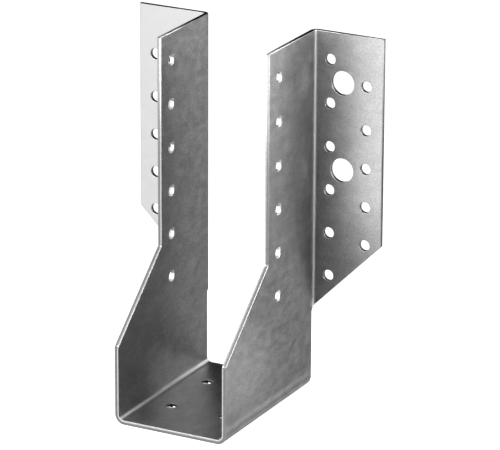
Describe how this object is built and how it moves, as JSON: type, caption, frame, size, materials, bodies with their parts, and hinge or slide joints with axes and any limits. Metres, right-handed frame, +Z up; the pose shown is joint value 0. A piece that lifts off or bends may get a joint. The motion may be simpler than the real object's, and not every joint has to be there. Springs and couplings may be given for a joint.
{
  "type": "joist hanger",
  "caption": "Face-fixed joist hanger folded from galvanised sheet: U-shaped stirrup with sloped cheeks and outward nailing flanges.",
  "frame": {"origin": "centre of the hanger's box at the underside of the seat", "axes": "+X across the joist, +Y from the joist towards the header, +Z up the cheeks"},
  "size_m": [0.121, 0.084, 0.166],
  "materials": {
    "galvanised_sheet": "skin-passed zinc coating, satin, with sheared bright edges"
  },
  "bodies": {
    "root": {"hanger": "galvanised_sheet"}
  },
  "joints": []
}
